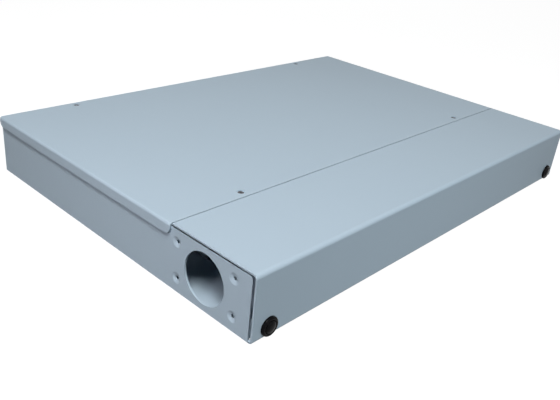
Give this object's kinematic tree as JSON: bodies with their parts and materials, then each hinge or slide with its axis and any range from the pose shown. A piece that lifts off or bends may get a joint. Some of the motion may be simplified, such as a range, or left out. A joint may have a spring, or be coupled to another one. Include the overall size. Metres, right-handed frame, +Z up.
{
  "type": "fibre optic patch panel",
  "caption": "Flat folded steel box with a pull-off front cover, a screwed top cover, round side cable entries, a row of optical adapters and a splice tray.",
  "frame": {"origin": "centre of the box's underside, halfway between the latch heads in front and the grommets behind", "axes": "+X along the front from left to right, +Y from the front to the back, +Z up"},
  "size_m": [0.3844, 0.2798, 0.044],
  "materials": {
    "painted_steel": "smooth satin powder coat, light grey",
    "zinc_steel": "bright zinc plate",
    "black_nylon": "glossy black moulded nylon",
    "adapter_blue": "moulded blue plastic",
    "cap_white": "soft milky plastic",
    "tray_grey": "moulded light grey plastic",
    "clear_lid": "clear moulded plastic",
    "black_rubber": "matt black rubber"
  },
  "bodies": {
    "chassis": {"base_tray": "painted_steel", "side_wall_left": "painted_steel", "side_wall_right": "painted_steel", "adapter_panel": "painted_steel", "floor_screws": "zinc_steel", "cover_nuts": "zinc_steel", "adapter_clips": "zinc_steel", "tray_stud": "zinc_steel", "cable_clamp_left": "zinc_steel", "cable_clamp_right": "zinc_steel", "earth_stud": "zinc_steel", "earth_washer": "zinc_steel", "earth_nut": "zinc_steel", "fibre_clip_left": "black_nylon", "fibre_clip_right": "black_nylon", "tray_spacers": "black_nylon", "adapter_01": "adapter_blue", "adapter_02": "adapter_blue", "adapter_03": "adapter_blue", "adapter_04": "adapter_blue", "adapter_05": "adapter_blue", "adapter_06": "adapter_blue", "adapter_07": "adapter_blue", "adapter_08": "adapter_blue", "adapter_09": "adapter_blue", "adapter_10": "adapter_blue", "adapter_11": "adapter_blue", "adapter_12": "adapter_blue", "bend_guide_left": "tray_grey", "bend_guide_right": "tray_grey", "panel_trim_left": "black_rubber", "panel_trim_right": "black_rubber", "rear_grommet_left": "black_rubber", "rear_grommet_right": "black_rubber"},
    "front_cover": {"front_cover": "painted_steel", "front_cover_hooks": "zinc_steel", "latch_grommet_left": "black_nylon", "latch_grommet_right": "black_nylon"},
    "left_plunger": {"latch_plunger_left": "black_nylon"},
    "right_plunger": {"latch_plunger_right": "black_nylon"},
    "top_cover": {"top_cover": "painted_steel", "top_cover_screws": "zinc_steel"},
    "splice_tray": {"splice_tray": "tray_grey", "splice_comb_front": "tray_grey", "splice_comb_rear": "tray_grey"},
    "tray_lid": {"splice_tray_lid": "clear_lid", "tray_thumb_nut": "black_nylon"},
    "dust_cap_01": {"dust_cap_01": "cap_white"},
    "dust_cap_02": {"dust_cap_02": "cap_white"},
    "dust_cap_03": {"dust_cap_03": "cap_white"},
    "dust_cap_04": {"dust_cap_04": "cap_white"},
    "dust_cap_05": {"dust_cap_05": "cap_white"},
    "dust_cap_06": {"dust_cap_06": "cap_white"},
    "dust_cap_07": {"dust_cap_07": "cap_white"},
    "dust_cap_08": {"dust_cap_08": "cap_white"},
    "dust_cap_09": {"dust_cap_09": "cap_white"},
    "dust_cap_10": {"dust_cap_10": "cap_white"},
    "dust_cap_11": {"dust_cap_11": "cap_white"},
    "dust_cap_12": {"dust_cap_12": "cap_white"}
  },
  "joints": [
    {"name": "front_cover_pull", "type": "slide", "parent": "chassis", "child": "front_cover", "axis": [0, -1, 0], "range_m": [0, 0.09]},
    {"name": "left_latch_pull", "type": "slide", "parent": "front_cover", "child": "left_plunger", "axis": [0, -1, 0], "range_m": [0, 0.006]},
    {"name": "right_latch_pull", "type": "slide", "parent": "front_cover", "child": "right_plunger", "axis": [0, -1, 0], "range_m": [0, 0.006]},
    {"name": "top_cover_lift", "type": "slide", "parent": "chassis", "child": "top_cover", "axis": [0, 0, 1], "range_m": [0, 0.06]},
    {"name": "tray_lift", "type": "slide", "parent": "chassis", "child": "splice_tray", "axis": [0, 0, 1], "range_m": [0, 0.0195]},
    {"name": "tray_lid_lift", "type": "slide", "parent": "splice_tray", "child": "tray_lid", "axis": [0, 0, 1], "range_m": [0, 0.012]},
    {"name": "dust_cap_01_pull", "type": "slide", "parent": "chassis", "child": "dust_cap_01", "axis": [0, -1, 0], "range_m": [0, 0.014]},
    {"name": "dust_cap_02_pull", "type": "slide", "parent": "chassis", "child": "dust_cap_02", "axis": [0, -1, 0], "range_m": [0, 0.014]},
    {"name": "dust_cap_03_pull", "type": "slide", "parent": "chassis", "child": "dust_cap_03", "axis": [0, -1, 0], "range_m": [0, 0.014]},
    {"name": "dust_cap_04_pull", "type": "slide", "parent": "chassis", "child": "dust_cap_04", "axis": [0, -1, 0], "range_m": [0, 0.014]},
    {"name": "dust_cap_05_pull", "type": "slide", "parent": "chassis", "child": "dust_cap_05", "axis": [0, -1, 0], "range_m": [0, 0.014]},
    {"name": "dust_cap_06_pull", "type": "slide", "parent": "chassis", "child": "dust_cap_06", "axis": [0, -1, 0], "range_m": [0, 0.014]},
    {"name": "dust_cap_07_pull", "type": "slide", "parent": "chassis", "child": "dust_cap_07", "axis": [0, -1, 0], "range_m": [0, 0.014]},
    {"name": "dust_cap_08_pull", "type": "slide", "parent": "chassis", "child": "dust_cap_08", "axis": [0, -1, 0], "range_m": [0, 0.014]},
    {"name": "dust_cap_09_pull", "type": "slide", "parent": "chassis", "child": "dust_cap_09", "axis": [0, -1, 0], "range_m": [0, 0.014]},
    {"name": "dust_cap_10_pull", "type": "slide", "parent": "chassis", "child": "dust_cap_10", "axis": [0, -1, 0], "range_m": [0, 0.014]},
    {"name": "dust_cap_11_pull", "type": "slide", "parent": "chassis", "child": "dust_cap_11", "axis": [0, -1, 0], "range_m": [0, 0.014]},
    {"name": "dust_cap_12_pull", "type": "slide", "parent": "chassis", "child": "dust_cap_12", "axis": [0, -1, 0], "range_m": [0, 0.014]}
  ]
}
